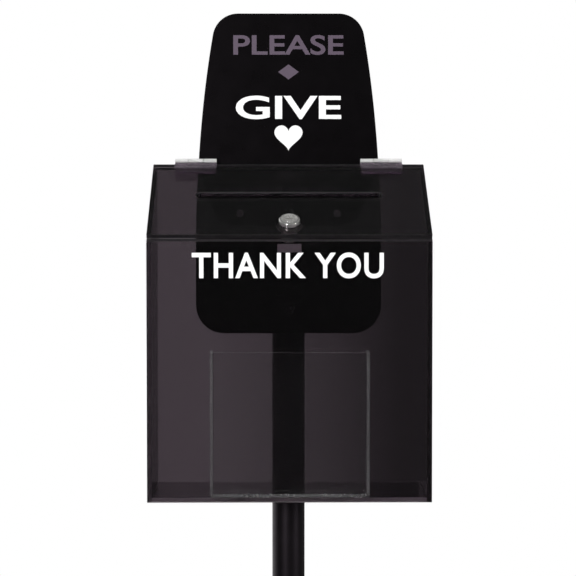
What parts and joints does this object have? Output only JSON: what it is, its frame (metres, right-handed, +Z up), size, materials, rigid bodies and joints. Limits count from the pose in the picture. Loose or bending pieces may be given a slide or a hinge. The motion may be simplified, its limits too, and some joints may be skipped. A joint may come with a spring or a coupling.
{
  "type": "donation box",
  "caption": "Smoked acrylic donation box with a sloping lockable lid, bill slot and envelope pocket, on a black steel header plate, post and flat base.",
  "frame": {"origin": "on the floor, under the middle of the base plate", "axes": "+X to the visitor's right, +Y towards the back, +Z up"},
  "size_m": [0.33, 0.33, 1.2212],
  "materials": {
    "smoked_acrylic": "grey smoked cast acrylic sheet, polished, see-through",
    "clear_acrylic": "clear acrylic sheet and clear moulded hinges, polished",
    "powder_coat": "satin black powder coat on steel, fine texture",
    "chrome": "polished nickel-chrome plate",
    "plated_steel": "zinc-plated steel",
    "black_nylon": "black moulded nylon",
    "rubber": "black rubber",
    "white_vinyl": "cut white vinyl film",
    "mauve_vinyl": "cut grey-purple vinyl film"
  },
  "bodies": {
    "stand": {"front_panel": "smoked_acrylic", "back_panel": "smoked_acrylic", "left_side_panel": "smoked_acrylic", "right_side_panel": "smoked_acrylic", "bottom_panel": "smoked_acrylic", "catch_block": "clear_acrylic", "pocket_front": "clear_acrylic", "pocket_left_side": "clear_acrylic", "pocket_right_side": "clear_acrylic", "pocket_bottom": "clear_acrylic", "hinge_case_leaf_left": "clear_acrylic", "hinge_case_leaf_right": "clear_acrylic", "base_plate": "powder_coat", "post_flange": "powder_coat", "post_tube": "powder_coat", "header_plate": "powder_coat", "cap_nut_upper": "chrome", "cap_nut_lower": "chrome", "flange_screw_1": "plated_steel", "flange_screw_2": "plated_steel", "flange_screw_3": "plated_steel", "flange_screw_4": "plated_steel", "case_screw_left": "plated_steel", "case_screw_right": "plated_steel", "case_nut_left": "plated_steel", "case_nut_right": "plated_steel", "post_bolt_upper": "plated_steel", "post_bolt_lower": "plated_steel", "hinge_pin_left": "plated_steel", "hinge_pin_right": "plated_steel", "post_cap": "black_nylon", "case_spacer_left": "black_nylon", "case_spacer_right": "black_nylon", "post_spacer_upper": "black_nylon", "post_spacer_lower": "black_nylon", "front_saddle_upper": "black_nylon", "front_saddle_lower": "black_nylon", "rear_saddle_upper": "black_nylon", "rear_saddle_lower": "black_nylon", "foot_front_left": "rubber", "foot_front_right": "rubber", "foot_rear_left": "rubber", "foot_rear_right": "rubber"},
    "lid": {"lid_panel": "smoked_acrylic", "hinge_lid_leaf_left": "clear_acrylic", "hinge_lid_leaf_right": "clear_acrylic", "lock_housing": "chrome", "lock_nut": "plated_steel"},
    "lock_plug": {"lock_plug": "chrome", "lock_cam": "plated_steel", "cam_screw": "plated_steel"}
  },
  "joints": [
    {"name": "lid_hinge", "type": "hinge", "parent": "stand", "child": "lid", "pos_m": [0, 0.01745, 1.06449], "axis": [-1, 0, 0], "range_deg": [0, 121]},
    {"name": "lock_turn", "type": "hinge", "parent": "lid", "child": "lock_plug", "pos_m": [0, -0.08334, 1.0006], "axis": [0, 0.5249, -0.8512], "range_deg": [0, 90]}
  ]
}
